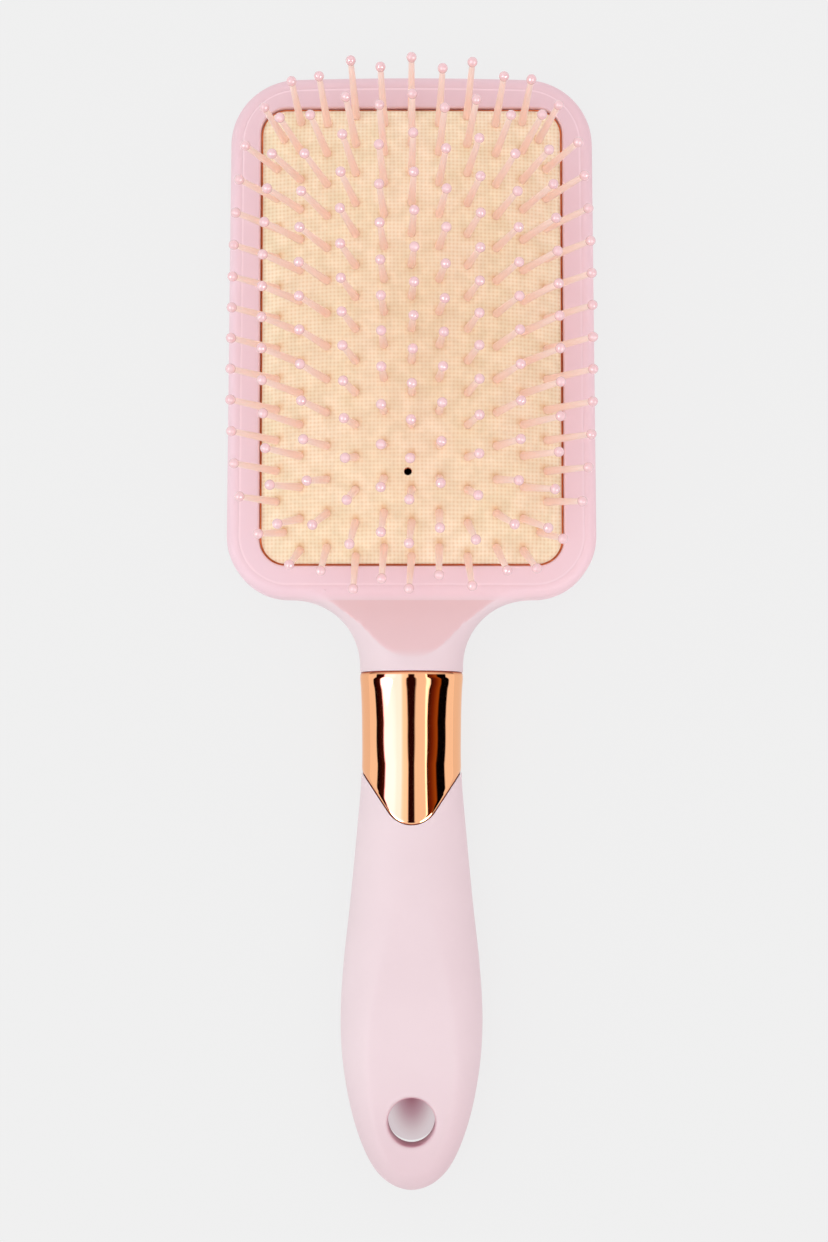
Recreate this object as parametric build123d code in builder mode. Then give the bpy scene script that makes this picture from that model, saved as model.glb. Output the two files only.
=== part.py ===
"""Paddle brush: a pneumatic-cushion hair brush, built as separate pieces.

The brush lies on its back with its pins up.  Origin: the middle of the flat
back, under the middle of the cushion.  +Y points to the head end, -Y along
the handle, +Z out of the cushion.  Millimetres.
"""

from build123d import *
from math import cos, pi, radians, sin, sqrt
import os

os.makedirs("parts", exist_ok=True)

# ------------------------------------------------------------- driving sizes
# paddle, seen from above
head_half_width = 41.2  # at the head end
heel_half_width = 41.75  # at the handle end, where the paddle is widest
head_y = 59.4
head_bow = 0.4  # how far the head end bows out at its middle
heel_y = -59.6
head_corner_r = 15.3
heel_corner_r = 14.0
paddle_thickness = 14.0
front_edge_r = 2.2
back_edge_r = 5.0

# paddle, inside
rim_width = 2.75  # shell rim outside the bezel
bezel_thickness = 3.95
bezel_gap = 0.12  # parting line between rim and bezel
bezel_chamfer = 0.25
bezel_lip_r = 0.5
bezel_peg_r = 0.7
bezel_peg_depth = 2.0  # below the ledge
side_peg_x = 37.4
end_peg_y = 55.35
bezel_peg_spacing = 22.0
ledge_z = 8.65
floor_thickness = 2.2
chamber_half = (35.2, 53.3)
chamber_corner_r = 7.0

# cushion
opening_half = (34.35, 52.45)
opening_corner_r = 6.1
cushion_edge_z = 12.5
cushion_rise = 10.0
crown_half = (35.0, 53.3)  # where the crown comes down to the edge height
crown_power = (2.5, 3.5)
cloth_thickness = 0.35
cloth_inset = 0.45  # rubber left bare round the cloth
membrane_thickness = 1.4
membrane_wall = 1.0
flange_width = 2.0
vent_xy = (-0.8, -32.0)
vent_r = 0.9

# pins: column number: (x, pins in the column, half of its span in y)
columns = {
    0: (0.0, 15, 50.4),
    1: (6.2, 14, 48.5),
    2: (12.6, 15, 50.4),
    3: (19.1, 14, 48.5),
    4: (25.2, 15, 49.1),
    5: (30.6, 14, 45.0),
}
corner_pin_inset = 1.6
ring_count = 6
pin_length = 19.0  # above the cloth, with its tip
pin_base_r = 0.93
pin_top_r = 0.65
pin_hole_gap = 0.06
pin_head_r = 1.3
pin_head_thickness = 0.7
pin_taper_start = 0.3  # above the cloth
pin_scatter = 2.0  # degrees that a pin may lean off the cushion's normal
tip_r = 1.13
tip_length = 2.5
tip_seat = 0.45  # how far up the drop its flat seat is
tip_seat_r = 0.8

# neck, ferrule and handle: ovals round one long axis
grip_z = 10.6
grip_flatness = 0.66  # height over width of the oval
neck_end_y = -76.3
neck_radius = 15.5  # hollow curve from the paddle's heel into the neck
neck_half_width = 11.6
neck_front_z = 18.2
ramp_foot_y = -60.0  # the flat ramp from the paddle's front up to the neck's
ramp_top_y = -73.0
ferrule_corner_y = -98.2
ferrule_point_y = -115.85  # where the V's two sides would meet
ferrule_point_r = 6.2
ferrule_wall = 0.9
ferrule_proud = 0.12  # stands this far out of the handle
ferrule_bore_end_y = -98.0  # from here the bore widens with the handle
spigot_half_width = 10.55
spigot_length = 9.6
tail_nub = (1.5, -191.4)  # half-width and y of the tail's blunt end
handle_side = [
    # half-width and y, from the ferrule to just short of the tail
    (11.25, -99.4),
    (12.25, -112.0),
    (13.7, -127.4),
    (15.25, -142.0),
    (15.85, -154.0),
    (15.1, -165.0),
    (12.85, -176.0),
    (9.4, -184.8),
    (5.3, -189.6),
]
facet_peak = (-136.0, 19.6)  # y and z of the highest point of the front facet
facet_r = 320.0
tail_relief = (-148.0, 0.3)  # y and z where the back starts to rise to the tail
tail_relief_r = 90.0
hang_hole_y = -175.7
hang_hole_r = 5.4

# inside the handle
handle_wall = 2.3
hollow_flatness = 0.54
hollow_span = (-121.0, -163.5)
hollow_end_step = 0.75  # the hollow narrows by this at both ends
tang_half = (6.0, 3.5)
tang_corner_r = 1.0
tang_end_y = -119.0
tang_gap = 0.1
tang_pin_y = -115.0
tang_pin_length = 9.8
boss_r = 3.2
peg_r = 1.4
peg_length = 4.0
peg_gap = 0.05
peg_root = 1.0  # how far a peg reaches into the shell that carries it
boss_ys = (-129.0, -156.0)
rib_y = -143.0
rib_thickness = 1.6

fit_gap = 0.05  # between pieces that are pushed or glued together
past = 30.0  # reach of a cut that goes right through


# ------------------------------------------------------------ shared shapes
def crown(x, y):
    """Height of the cloth's outer face above the resting plane."""
    across = 1 - (abs(x) / crown_half[0]) ** crown_power[0]
    along = 1 - (abs(y) / crown_half[1]) ** crown_power[1]
    return cushion_edge_z + cushion_rise * across * along


def crown_slope(x, y):
    """The crown's rise per millimetre along X and along Y."""
    step = 0.01
    along_x = (crown(x + step, y) - crown(x - step, y)) / (2 * step)
    along_y = (crown(x, y + step) - crown(x, y - step)) / (2 * step)
    return along_x, along_y


def crown_face(drop, nx=17, ny=27):
    """The cushion's crown as one smooth face, lowered by drop, a little wider than the opening."""
    half_x, half_y = opening_half[0] + 1.5, opening_half[1] + 1.5
    rows = []
    for i in range(nx):
        x = half_x * (2 * i / (nx - 1) - 1)
        ys = [half_y * (2 * j / (ny - 1) - 1) for j in range(ny)]
        rows.append([Vector(x, y, crown(x, y) - drop) for y in ys])
    return Face.make_surface_from_array_of_points(rows)


def dome(half, corner_r, bottom_z, drop):
    """A rounded block from bottom_z up to the crown lowered by drop."""
    with BuildPart() as block:
        with BuildSketch(Plane.XY.offset(bottom_z)):
            RectangleRounded(2 * half[0], 2 * half[1], corner_r)
        extrude(amount=past)
        face = crown_face(drop)
        above = Keep.TOP if face.normal_at().Z < 0 else Keep.BOTTOM
        split(bisect_by=face, keep=above)
    return block.part


def paddle_outline(inset):
    """The paddle's outline, moved in by inset, as a sketch at Z = 0."""
    with BuildSketch() as outline:
        with BuildLine():
            Polyline(
                (0, heel_y),
                (heel_half_width, heel_y),
                (head_half_width, head_y),
                (0, head_y),
            )
            mirror(about=Plane.YZ)
        make_face()
        corners = outline.vertices().filter_by(lambda v: abs(v.X) > 1)
        fillet(corners.filter_by(lambda v: v.Y > 0), head_corner_r)
        corners = outline.vertices().filter_by(lambda v: abs(v.X) > 1 and v.Y < 0)
        fillet(corners, heel_corner_r)
        bow_half = head_half_width - head_corner_r
        with BuildLine():
            ThreePointArc((-bow_half, head_y), (0, head_y + head_bow), (bow_half, head_y))
            Line((bow_half, head_y), (-bow_half, head_y))
        make_face()
        if inset:
            offset(amount=-inset, mode=Mode.REPLACE)
    return outline.sketch


def oval_plane(y, z):
    """A plane across the handle at y, with its middle at height z."""
    return Plane(origin=(0, y, z), x_dir=(1, 0, 0), z_dir=(0, -1, 0))


def squared_oval(half_width, half_height, power, points=24):
    """Points round an oval; power 2 is an ellipse, more is squarer."""
    ring = []
    for k in range(points):
        c, s = cos(2 * pi * k / points), sin(2 * pi * k / points)
        x = half_width * abs(c) ** (2 / power) * (1 if c >= 0 else -1)
        y = half_height * abs(s) ** (2 / power) * (1 if s >= 0 else -1)
        ring.append((x, y))
    return ring


def neck_width(y):
    """Half-width of the neck where the hollow curve leaves the paddle."""
    along = min(neck_radius, abs(y - (heel_y - neck_radius)))
    return neck_half_width + neck_radius - sqrt(neck_radius**2 - along**2)


# ------------------------------------------------------------------ the neck
neck_sections = [
    # y, half-width, underside z, front z, squareness
    (heel_y + 4.0, 31.0, 1.0, 16.6, 3.4),
    (heel_y - 1.4, neck_width(heel_y - 1.4), 0.3, 17.4, 3.0),
    (heel_y - 4.6, neck_width(heel_y - 4.6), 0.7, 17.9, 2.6),
    (heel_y - 9.6, neck_width(heel_y - 9.6), 1.7, neck_front_z, 2.2),
    (neck_end_y, neck_half_width, grip_z - neck_half_width * grip_flatness, neck_front_z, 2.0),
]
with BuildPart() as neck:
    for y, half_width, low_z, high_z, power in neck_sections:
        with BuildSketch(oval_plane(y, (low_z + high_z) / 2)):
            with BuildLine():
                Spline(squared_oval(half_width, (high_z - low_z) / 2, power), periodic=True)
            make_face()
    loft()
    with BuildSketch(Plane.YZ):
        Polygon(
            (heel_y + 10, paddle_thickness),
            (ramp_foot_y, paddle_thickness),
            (ramp_top_y, neck_front_z),
            (ramp_top_y, past),
            (heel_y + 10, past),
            align=None,
        )
    extrude(amount=heel_half_width, both=True, mode=Mode.SUBTRACT)

# ------------------------------------------------------- paddle and its bezel
bezel_z = paddle_thickness - bezel_thickness
side_pegs = GridLocations(2 * side_peg_x, bezel_peg_spacing, 2, 5)
end_pegs = GridLocations(bezel_peg_spacing, 2 * end_peg_y, 3, 2)

with BuildPart() as paddle_shell:
    with BuildSketch():
        add(paddle_outline(0))
    extrude(amount=paddle_thickness)
    fillet(paddle_shell.edges().group_by(Axis.Z)[-1], front_edge_r)
    fillet(paddle_shell.edges().group_by(Axis.Z)[0], back_edge_r)
    add(neck.part)
    # seat for the bezel, then the air chamber below it
    with BuildSketch(Plane.XY.offset(ledge_z)):
        add(paddle_outline(rim_width))
    extrude(amount=paddle_thickness, mode=Mode.SUBTRACT)
    with BuildSketch(Plane.XY.offset(floor_thickness)):
        RectangleRounded(2 * chamber_half[0], 2 * chamber_half[1], chamber_corner_r)
    extrude(amount=paddle_thickness, mode=Mode.SUBTRACT)
    for grid in (side_pegs, end_pegs):
        with BuildSketch(Plane.XY.offset(ledge_z)):
            with grid:
                Circle(bezel_peg_r + fit_gap)
        extrude(amount=-(bezel_peg_depth + 4 * fit_gap), mode=Mode.SUBTRACT)
    # spigot inside the ferrule, and the tang that reaches into the handle
    with BuildSketch(oval_plane(neck_end_y, grip_z)):
        Ellipse(spigot_half_width, spigot_half_width * grip_flatness)
    extrude(amount=spigot_length)
    with BuildSketch(oval_plane(neck_end_y - spigot_length, grip_z)):
        RectangleRounded(2 * tang_half[0], 2 * tang_half[1], tang_corner_r)
    extrude(amount=neck_end_y - spigot_length - tang_end_y)
    with Locations((0, tang_pin_y, grip_z)):
        Cylinder(peg_r + 2 * peg_gap, past, mode=Mode.SUBTRACT)
paddle_shell.part.label = "paddle_shell"
export_step(paddle_shell.part, "parts/paddle_shell.step")

with BuildPart() as front_bezel:
    with BuildSketch(Plane.XY.offset(bezel_z + fit_gap)):
        add(paddle_outline(rim_width + bezel_gap))
    extrude(amount=bezel_thickness - fit_gap)
    chamfer(front_bezel.edges().group_by(Axis.Z)[-1], bezel_chamfer)
    with BuildSketch(Plane.XY.offset(bezel_z)):
        RectangleRounded(2 * opening_half[0], 2 * opening_half[1], opening_corner_r)
    extrude(amount=bezel_thickness + 1, mode=Mode.SUBTRACT)
    opening_edges = front_bezel.faces().sort_by(Axis.Z)[-1].inner_wires()[0].edges()
    fillet(opening_edges, bezel_lip_r)
    for grid in (side_pegs, end_pegs):
        with BuildSketch(Plane.XY.offset(bezel_z + 1)):
            with grid:
                Circle(bezel_peg_r)
        extrude(amount=-(bezel_z + 1 - ledge_z + bezel_peg_depth))
front_bezel.part.label = "front_bezel"
export_step(front_bezel.part, "parts/front_bezel.step")


# ------------------------------------------------------------------ the pins
def scatter(column, row, turn):
    """A fixed small lean for each pin, in radians."""
    return radians(pin_scatter) * sin(7.3 * column + 12.9 * row + turn)


def pin_plane(column, row):
    """The plane of the cloth at one pin, with Z along the pin."""
    x, count, half_span = columns[abs(column)]
    y = half_span * (1 - 2 * row / (count - 1))
    if abs(column) == max(columns) and row in (0, count - 1):
        x -= corner_pin_inset
    x = -x if column < 0 else x
    slope_x, slope_y = crown_slope(x, y)
    lean_x = -slope_x + scatter(column, row, 0.0)
    lean_y = -slope_y + scatter(column, row, 2.1)
    return Plane(origin=(x, y, crown(x, y)), z_dir=(lean_x, lean_y, 1))


def ring_of(column, row):
    """Pins are counted in rings, 1 at the cushion's edge to 6 at its middle."""
    count = columns[abs(column)][1]
    return 1 + min(max(columns) - abs(column), row, count - 1 - row)


def side_of(column, row):
    """Which side of its ring a pin is on."""
    count, ring = columns[abs(column)][1], ring_of(column, row)
    if ring == ring_count:
        return "centre"
    if row == ring - 1:
        return "head_end"
    if count - row == ring:
        return "handle_end"
    return "left" if column < 0 else "right"


pin_groups = {}
for column in range(-max(columns), max(columns) + 1):
    for row in range(columns[abs(column)][1]):
        group = (ring_of(column, row), side_of(column, row))
        pin_groups.setdefault(group, []).append(pin_plane(column, row).location)
pin_places = [place for group in pin_groups.values() for place in group]

pin_foot = cloth_thickness + membrane_thickness + 0.1  # the head's top, below the cloth
shaft_end = pin_length - tip_length + tip_seat

with BuildPart() as pin:
    with BuildSketch(Plane.XZ):
        Polygon(
            (0, -pin_foot - pin_head_thickness),
            (pin_head_r, -pin_foot - pin_head_thickness),
            (pin_head_r, -pin_foot),
            (pin_base_r, -pin_foot),
            (pin_base_r, pin_taper_start),
            (pin_top_r, shaft_end),
            (0, shaft_end),
            align=None,
        )
    revolve(axis=Axis.Z)

tip_centre = pin_length - tip_r
with BuildPart() as tip:
    with BuildSketch(Plane.XZ):
        with BuildLine():
            Line((0, shaft_end), (tip_seat_r, shaft_end))
            Spline(
                (tip_seat_r, shaft_end),
                (tip_r, tip_centre),
                (0, pin_length),
                tangents=[(0.35, 1), (-1, 0)],
            )
            Line((0, pin_length), (0, shaft_end))
        make_face()
    revolve(axis=Axis.Z)

for (ring, side), places in pin_groups.items():
    for kind, shape in (("pins", pin), ("tips", tip)):
        with BuildPart() as group:
            with Locations(*places):
                add(shape.part)
        group.part.label = f"{kind}_ring_{ring}_{side}"
        export_step(group.part, f"parts/{group.part.label}.step")

# --------------------------------------------------------------- the cushion
with BuildPart() as pin_holes:
    with Locations(*pin_places):
        Cylinder(pin_base_r + pin_hole_gap, 4 * membrane_thickness)
    with Locations((*vent_xy, cushion_edge_z + cushion_rise)):
        Cylinder(vent_r, cushion_rise)

inner_half = [half - membrane_wall for half in opening_half]
flange_half = [half + flange_width for half in opening_half]
with BuildPart() as cushion_membrane:
    add(dome([half - fit_gap for half in opening_half], opening_corner_r, ledge_z, cloth_thickness))
    with BuildSketch(Plane.XY.offset(ledge_z)):
        RectangleRounded(2 * flange_half[0], 2 * flange_half[1], opening_corner_r + flange_width)
    extrude(amount=bezel_z - ledge_z)
    add(
        dome(inner_half, opening_corner_r - membrane_wall, ledge_z - 1, cloth_thickness + membrane_thickness),
        mode=Mode.SUBTRACT,
    )
    add(pin_holes.part, mode=Mode.SUBTRACT)
cushion_membrane.part.label = "cushion_membrane"
export_step(cushion_membrane.part, "parts/cushion_membrane.step")

cloth_half = [half - fit_gap - cloth_inset for half in opening_half]
with BuildPart() as cushion_cloth:
    add(dome(cloth_half, opening_corner_r - cloth_inset, ledge_z, 0))
    add(dome(opening_half, opening_corner_r, ledge_z - 1, cloth_thickness), mode=Mode.SUBTRACT)
    add(pin_holes.part, mode=Mode.SUBTRACT)
cushion_cloth.part.label = "cushion_cloth"
export_step(cushion_cloth.part, "parts/cushion_cloth.step")


# ------------------------------------------------------- ferrule and handle
grip_start, tongue_end = handle_side[0], handle_side[1]


def oval_loft(side, flatness, ruled=False):
    """A solid through ovals across the handle; side gives half-widths and y."""
    with BuildPart() as body:
        for half_width, y in side:
            with BuildSketch(oval_plane(y, grip_z)):
                Ellipse(half_width, half_width * flatness)
        loft(ruled=ruled)
    return body.part


def ferrule_field(widen):
    """The front view of the ferrule, grown by widen on its handle side."""
    reach = neck_half_width + 2.4
    shoulder_y = ferrule_point_y + (ferrule_corner_y - ferrule_point_y) * reach / neck_half_width
    with BuildSketch() as field:
        with BuildLine():
            FilletPolyline(
                (-reach, shoulder_y - widen),
                (0, ferrule_point_y - widen),
                (reach, shoulder_y - widen),
                radius=ferrule_point_r,
            )
            Polyline(
                (reach, shoulder_y - widen),
                (reach, neck_end_y),
                (-reach, neck_end_y),
                (-reach, shoulder_y - widen),
            )
        make_face()
    return field.sketch


seat_top_y = neck_end_y - spigot_length - 0.4  # where the handle's own spigot starts
seat_end_y = ferrule_point_y - 1.0
ferrule_side = [(11.6, neck_end_y), (11.42, -88.0), grip_start, tongue_end, (12.6, seat_end_y)]
ferrule_side = [(half_width + ferrule_proud, y) for half_width, y in ferrule_side]
bore_half_width = spigot_half_width + fit_gap
tongue_floor = tongue_end[0] - ferrule_wall

with BuildPart() as ferrule:
    add(oval_loft(ferrule_side, grip_flatness))
    with BuildSketch(Plane.XY):
        add(ferrule_field(0))
    extrude(amount=past, mode=Mode.INTERSECT)
    bore = [
        (bore_half_width, neck_end_y + 1),
        (bore_half_width, ferrule_bore_end_y),
        (tongue_floor, seat_end_y - 1),
    ]
    add(oval_loft(bore, grip_flatness, ruled=True), mode=Mode.SUBTRACT)
ferrule.part.label = "ferrule"
export_step(ferrule.part, "parts/ferrule.step")

hollow = [(half_width - handle_wall, y) for half_width, y in handle_side]
hollow = [(w, y) for w, y in hollow if hollow_span[1] < y < hollow_span[0]]
hollow_ends = (hollow[0][0] - hollow_end_step, hollow[-1][0] - hollow_end_step)
hollow = [(hollow_ends[0], hollow_span[0]), *hollow, (hollow_ends[1], hollow_span[1])]
hollow_solid = oval_loft(hollow, hollow_flatness)

with BuildPart() as handle_body:
    add(oval_loft([(grip_start[0], seat_top_y), *handle_side, tail_nub], grip_flatness))
    # the front facet, a gentle arc along the handle
    with BuildSketch(Plane.YZ):
        with Locations(facet_peak):
            Rectangle(4 * past, past)
        with Locations((facet_peak[0], facet_peak[1] - facet_r)):
            Circle(facet_r, mode=Mode.SUBTRACT)
    extrude(amount=past, both=True, mode=Mode.SUBTRACT)
    # the back rises towards the tail
    with BuildSketch(Plane.YZ):
        with Locations((tail_relief[0] - past, 0)):
            Rectangle(2 * past, 2 * grip_z)
        with Locations((tail_relief[0], tail_relief[1] + tail_relief_r)):
            Circle(tail_relief_r, mode=Mode.SUBTRACT)
    extrude(amount=past, both=True, mode=Mode.SUBTRACT)
    # the seat of the ferrule, and the spigot inside it
    with BuildSketch(Plane.XY):
        add(ferrule_field(fit_gap))
    extrude(amount=past, mode=Mode.SUBTRACT)
    spigot = [
        (bore_half_width - fit_gap, seat_top_y),
        (bore_half_width - fit_gap, ferrule_bore_end_y),
        (tongue_floor - fit_gap, seat_end_y - 1),
    ]
    add(oval_loft(spigot, grip_flatness, ruled=True))
    add(hollow_solid, mode=Mode.SUBTRACT)
    # socket for the paddle's tang
    with BuildSketch(oval_plane(seat_top_y + 1, grip_z)):
        RectangleRounded(2 * (tang_half[0] + tang_gap), 2 * (tang_half[1] + tang_gap), tang_corner_r)
    extrude(amount=seat_top_y + 1 - hollow_span[0], mode=Mode.SUBTRACT)
    with Locations((0, hang_hole_y, grip_z)):
        Cylinder(hang_hole_r, past, mode=Mode.SUBTRACT)

with BuildPart() as handle_inside:
    with BuildSketch(Plane.XY):
        for y in boss_ys:
            with Locations((0, y)):
                Circle(boss_r)
        with Locations((0, rib_y)):
            Rectangle(past, rib_thickness)
    extrude(amount=past)
    add(hollow_solid, mode=Mode.INTERSECT)

with BuildPart() as handle_front_shell:
    add(handle_body.part)
    add(handle_inside.part)
    split(bisect_by=Plane.XY.offset(grip_z), keep=Keep.TOP)
    with Locations(*[(0, y, grip_z) for y in boss_ys]):
        Cylinder(peg_r + peg_gap, 2 * (peg_length + 0.4), mode=Mode.SUBTRACT)
    with Locations((0, tang_pin_y, grip_z)):
        Cylinder(peg_r + peg_gap, 2 * (tang_pin_length - tang_half[1]), mode=Mode.SUBTRACT)
handle_front_shell.part.label = "handle_front_shell"
export_step(handle_front_shell.part, "parts/handle_front_shell.step")

with BuildPart() as handle_back_shell:
    add(handle_body.part)
    add(handle_inside.part)
    split(bisect_by=Plane.XY.offset(grip_z), keep=Keep.BOTTOM)
    with BuildSketch(Plane.XY.offset(grip_z - peg_root)):
        with Locations(*[(0, y) for y in boss_ys]):
            Circle(peg_r)
    extrude(amount=peg_root + peg_length)
    with BuildSketch(Plane.XY.offset(grip_z - tang_half[1] - peg_root)):
        with Locations((0, tang_pin_y)):
            Circle(peg_r)
    extrude(amount=tang_pin_length)
handle_back_shell.part.label = "handle_back_shell"
export_step(handle_back_shell.part, "parts/handle_back_shell.step")
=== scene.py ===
"""Looks of the paddle brush: detailed pieces, materials, studio light and camera.

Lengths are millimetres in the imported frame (+Y head end, +Z out of the cushion)
and become metres when a mesh is made. Floor, light and camera are placed in metres.
"""

import math

import bmesh
import bpy
import numpy as np
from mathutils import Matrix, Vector
from mathutils.geometry import delaunay_2d_cdt


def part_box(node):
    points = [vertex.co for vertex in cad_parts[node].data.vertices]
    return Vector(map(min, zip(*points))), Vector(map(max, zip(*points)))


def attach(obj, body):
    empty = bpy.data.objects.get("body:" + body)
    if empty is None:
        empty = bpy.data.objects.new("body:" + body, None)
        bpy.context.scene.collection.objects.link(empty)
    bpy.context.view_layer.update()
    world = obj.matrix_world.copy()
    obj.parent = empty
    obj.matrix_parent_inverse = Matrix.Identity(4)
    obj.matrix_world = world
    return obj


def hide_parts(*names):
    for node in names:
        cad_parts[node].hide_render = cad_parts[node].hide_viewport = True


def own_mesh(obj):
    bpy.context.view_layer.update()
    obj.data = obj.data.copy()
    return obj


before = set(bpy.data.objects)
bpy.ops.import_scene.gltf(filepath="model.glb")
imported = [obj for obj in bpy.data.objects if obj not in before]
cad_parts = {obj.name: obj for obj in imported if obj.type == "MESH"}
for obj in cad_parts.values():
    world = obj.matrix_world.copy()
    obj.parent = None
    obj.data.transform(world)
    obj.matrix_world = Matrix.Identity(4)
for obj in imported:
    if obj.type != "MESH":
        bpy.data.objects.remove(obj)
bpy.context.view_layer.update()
MM = 0.001


# ------------------------------------------------------------------- sizes
def box_mm(node):
    """A CAD node's lowest and highest corners, in millimetres."""
    low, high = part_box(node)
    return np.array(low) / MM, np.array(high) / MM


bezel_low, bezel_high = box_mm("front_bezel")
ferrule_low, ferrule_high = box_mm("ferrule")

# paddle
heel_half, head_half = 41.75, 41.2
head_y, heel_y, head_bow = 59.4, -59.6, 0.4
head_r, heel_r = 15.3, 14.0
front_z = bezel_high[2]
front_edge_r, back_edge_r = 2.2, 5.0
side_low_z, side_high_z = back_edge_r, front_z - front_edge_r
rim_width = 2.75
rim_gap = 0.02
ledge_z, floor_z = 8.65, 2.2
chamber_half, chamber_r = (35.2, 53.3), 7.0

# neck and handle
grip_z = (ferrule_low[2] + ferrule_high[2]) / 2
flatness = 0.66
neck_end_y = ferrule_high[1]
neck_half, neck_arc_r = 11.6, 15.5
ramp_foot_y, ramp_top_y = -60.0, -73.0
neck_top_z = grip_z + neck_half * flatness
ramp_slope = (neck_top_z - front_z) / (ramp_foot_y - ramp_top_y)
v_corner_y, v_point_y, v_point_r = -98.2, -115.75, 6.2
v_gap = 0.08  # from the V edge to the handle
ferrule_proud = 0.12
# how much narrower the sleeve is than an even taper: (distance below its mouth, amount)
ferrule_waist = [
    (0, 0), (1.5, 0.09), (4, 0.25), (8, 0.35), (13, 0.35), (20, 0.2), (25, 0.07), (30, 0), (60, 0),
]
handle_side = [
    (11.25, -99.4), (12.25, -112.0), (13.7, -127.4), (15.25, -142.0), (15.85, -154.0),
    (15.1, -165.0), (12.85, -176.0), (9.4, -184.8), (5.3, -189.6), (0.0, -191.4),
]
facet_y, facet_z, facet_r = -136.0, 19.6, 320.0
relief_y, relief_z, relief_r = -148.0, 0.3, 90.0
hole_y, hole_r, hole_round, hole_points = -175.95, 5.27, 0.9, 72

# cushion
opening_half, opening_r = (34.35, 52.45), 6.1
edge_z, rise = 12.5, 10.0
crown_half, crown_power = (35.0, 53.3), (2.5, 3.5)
cloth_thick, cloth_inset, rubber_thick = 0.35, 0.5, 1.4
vent_xy, vent_r, vent_points = (-0.8, -32.0), 0.9, 40
dimple_depth, dimple_r = 0.45, 1.3  # round each pin
# size and place of the painted shade behind each leaning pin
pit_shade_r, pit_shade_back = 0.8, 1.7  # behind each leaning pin

# pins: column: x, count, half of the span in y
columns = {
    0: (0.0, 15, 50.4), 1: (6.2, 14, 48.5), 2: (12.6, 15, 50.4),
    3: (19.1, 14, 48.5), 4: (25.2, 15, 49.1), 5: (30.6, 14, 45.0),
}
corner_pin_inset, scatter_deg = 1.6, 2.0
pin_length, tip_length, tip_seat, tip_seat_r, tip_r = 19.0, 2.5, 0.45, 0.8, 1.13
pin_base_r, pin_top_r, pin_head_r = 0.93, 0.65, 1.3


# ----------------------------------------------------------- curve helpers
def smooth(value):
    """Smoothstep of a value clipped to 0..1."""
    t = np.clip(value, 0.0, 1.0)
    return t * t * (3 - 2 * t)


def soft_min(a, b, round_mm):
    """The lower of two heights, with the crease rounded over about round_mm."""
    gap = a - b
    return 0.5 * (a + b - np.sqrt(gap * gap + round_mm * round_mm))


def arc(cx, cy, r, start_deg, end_deg, count):
    """Points on an arc, without its last one."""
    angles = np.radians(np.linspace(start_deg, end_deg, count, endpoint=False))
    return np.stack([cx + r * np.cos(angles), cy + r * np.sin(angles)], 1)


def line(a, b, count):
    """Points on a line, without its last one."""
    t = np.linspace(0, 1, count, endpoint=False)[:, None]
    return np.array(a) * (1 - t) + np.array(b) * t


def pad_loop(inset=0.0, half=None, r=None, corner=22, side=70, end=44):
    """A closed loop of the paddle's outline moved in by inset, or of a plain rounded rectangle.
    Every such loop has the same number of points, so that any two can be joined."""
    if half is None:
        low_x, high_x = heel_half - inset, head_half - inset
        low_y, high_y = heel_y + inset, head_y - inset
        low_r, high_r, bow = heel_r - inset, head_r - inset, head_bow
    else:
        low_x = high_x = half[0]
        low_y, high_y = -half[1], half[1]
        low_r = high_r = r
        bow = 0.0
    right = line((low_x, low_y + low_r), (high_x, high_y - high_r), side)
    head_corner = arc(high_x - high_r, high_y - high_r, high_r, 0, 90, corner)
    head = line((high_x - high_r, high_y), (-(high_x - high_r), high_y), end)
    head[:, 1] += bow * (1 - (head[:, 0] / (high_x - high_r)) ** 2)
    heel_corner = arc(-(low_x - low_r), low_y + low_r, low_r, 180, 270, corner)
    heel = line((-(low_x - low_r), low_y), (low_x - low_r, low_y), end)
    left_corner = arc(-(high_x - high_r), high_y - high_r, high_r, 90, 180, corner)
    left = line((-high_x, high_y - high_r), (-low_x, low_y + low_r), side)
    last = arc(low_x - low_r, low_y + low_r, low_r, 270, 360, corner)
    return np.concatenate([right, head_corner, head, left_corner, left, heel_corner, heel, last])


def closed_path(loop):
    """A loop as an open path that ends where it starts."""
    return np.concatenate([loop, loop[:1]])


def resample(loop, step):
    """Points evenly spaced round a loop."""
    path = closed_path(loop)
    along = np.concatenate([[0], np.cumsum(np.linalg.norm(np.diff(path, axis=0), axis=1))])
    count = max(8, int(round(along[-1] / step)))
    at = np.linspace(0, along[-1], count, endpoint=False)
    return np.stack([np.interp(at, along, path[:, k]) for k in (0, 1)], 1)


def catmull(points, per_span=24):
    """A smooth curve through points."""
    p = np.array(points, float)
    p = np.concatenate([[2 * p[0] - p[1]], p, [2 * p[-1] - p[-2]]])
    t = np.linspace(0, 1, per_span, endpoint=False)[:, None]
    spans = []
    for k in range(1, len(p) - 2):
        a, b, c, d = p[k - 1], p[k], p[k + 1], p[k + 2]
        bend, twist = 2 * a - 5 * b + 4 * c - d, 3 * b - a - 3 * c + d
        spans.append(0.5 * (2 * b + (c - a) * t + bend * t**2 + twist * t**3))
    return np.concatenate(spans + [p[-2:-1]])


def inward(loop):
    """Unit normals that point into an anticlockwise loop."""
    tangent = np.roll(loop, -1, 0) - np.roll(loop, 1, 0)
    tangent /= np.linalg.norm(tangent, axis=1)[:, None]
    return np.stack([-tangent[:, 1], tangent[:, 0]], 1)


def inside(points, loop):
    """Which points lie in a closed loop."""
    x, y = points[:, :1], points[:, 1:]
    ax, ay = loop[:, 0], loop[:, 1]
    bx, by = np.roll(ax, -1), np.roll(ay, -1)
    crosses = (ay > y) != (by > y)
    with np.errstate(divide="ignore", invalid="ignore"):
        at = (bx - ax) * (y - ay) / (by - ay) + ax
    return (crosses & (x < at)).sum(1) % 2 == 1


def from_point(points, centre):
    """Distance from each point to one place."""
    return np.linalg.norm(points - np.array(centre), axis=1)


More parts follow.
